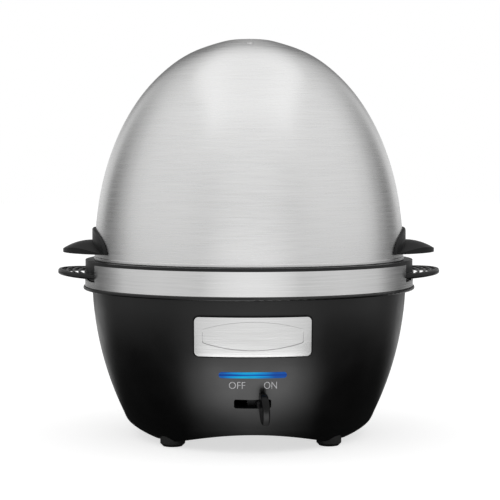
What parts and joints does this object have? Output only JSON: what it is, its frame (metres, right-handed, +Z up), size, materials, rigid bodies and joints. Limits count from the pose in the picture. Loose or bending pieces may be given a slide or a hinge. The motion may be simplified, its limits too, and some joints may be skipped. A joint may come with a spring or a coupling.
{
  "type": "electric egg cooker",
  "caption": "Electric egg cooker with a tall steel dome lid, two egg trays with side grips, a heated base and a sliding switch.",
  "frame": {"origin": "on the floor under the middle of the base", "axes": "+Z up, -Y out of the front with its nameplate and switch, +X to the right seen from the front"},
  "size_m": [0.2226, 0.193, 0.2298],
  "materials": {
    "dome_steel": "horizontally brushed",
    "band_steel": "horizontally brushed",
    "bowl_steel": "satin",
    "plate_aluminium": "satin",
    "cast_aluminium": "cast",
    "element_steel": "dull",
    "bracket_steel": "zinc plated",
    "screw_steel": "zinc plated",
    "badge_metal": "satin",
    "brass": "bright",
    "housing_plastic": "satin gloss",
    "handle_plastic": "fine matte",
    "tray_plastic": "satin",
    "cover_plastic": "matte",
    "switch_plastic": "matte",
    "block_plastic": "matte",
    "ceramic": "matte ceramic",
    "led_body": "clear",
    "lens_blue": "lit from behind",
    "board_green": "matte",
    "foot_rubber": "matte",
    "seal_rubber": "silicone",
    "lead_red": "satin",
    "lead_white": "satin",
    "lead_black": "satin"
  },
  "bodies": {
    "base": {"housing": "housing_plastic", "rim_band": "band_steel", "inner_bowl": "bowl_steel", "bowl_nuts": "screw_steel", "plate_seal": "seal_rubber", "heating_plate": "plate_aluminium", "heater_casting": "cast_aluminium", "heating_element": "element_steel", "plate_clamp_ring": "bracket_steel", "clamp_screws": "screw_steel", "thermostat": "ceramic", "thermostat_bracket": "bracket_steel", "thermostat_screws": "screw_steel", "thermal_fuse": "cast_aluminium", "fuse_clip": "bracket_steel", "fuse_clip_screws": "screw_steel", "nameplate_bezel": "handle_plastic", "nameplate": "badge_metal", "indicator_lens": "lens_blue", "indicator_leds": "led_body", "indicator_board": "board_green", "board_screws": "screw_steel", "buzzer": "handle_plastic", "lever_pivot_pin": "screw_steel", "switch_bracket": "switch_plastic", "bracket_screws": "screw_steel", "switch_body": "switch_plastic", "switch_terminals": "brass", "bottom_cover": "cover_plastic", "cover_screws": "screw_steel", "foot_front_left": "foot_rubber", "foot_front_right": "foot_rubber", "foot_rear_left": "foot_rubber", "foot_rear_right": "foot_rubber", "foot_screws": "screw_steel", "terminal_block": "block_plastic", "terminal_screws": "brass", "block_screws": "screw_steel", "cord_gland": "cover_plastic", "gland_nut": "cover_plastic", "lead_supply_switch": "lead_red", "lead_switch_thermostat": "lead_red", "lead_thermostat_fuse": "lead_white", "lead_fuse_element": "lead_white", "lead_element_supply": "lead_black", "lead_indicator": "lead_black"},
    "lever": {"lever_arm": "switch_plastic", "lever_paddle": "handle_plastic"},
    "slider": {"switch_slider": "switch_plastic"},
    "lower_tray": {"lower_egg_tray": "tray_plastic"},
    "upper_tray": {"upper_egg_tray": "tray_plastic"},
    "lid": {"lid_dome": "dome_steel", "lid_handle_left": "handle_plastic", "lid_handle_right": "handle_plastic", "lid_handle_screws": "screw_steel"}
  },
  "joints": [
    {"name": "lower_tray_lift", "type": "slide", "parent": "base", "child": "lower_tray", "axis": [0, 0, 1], "range_m": [0, 0.08]},
    {"name": "upper_tray_lift", "type": "slide", "parent": "lower_tray", "child": "upper_tray", "axis": [0, 0, 1], "range_m": [0, 0.08]},
    {"name": "lid_lift", "type": "slide", "parent": "upper_tray", "child": "lid", "axis": [0, 0, 1], "range_m": [0, 0.14]},
    {"name": "lever_turn", "type": "hinge", "parent": "base", "child": "lever", "pos_m": [0, -0.05167, 0.0391], "axis": [0, -0.3499, 0.9368], "range_deg": [-19.6, 0]},
    {"name": "slider_slide", "type": "slide", "parent": "base", "child": "slider", "axis": [1, 0, 0], "range_m": [0, 0.0038]}
  ],
  "couplings": [
    {"joint": "slider_slide", "follows": "lever_turn", "m_per_rad": -0.011109}
  ]
}
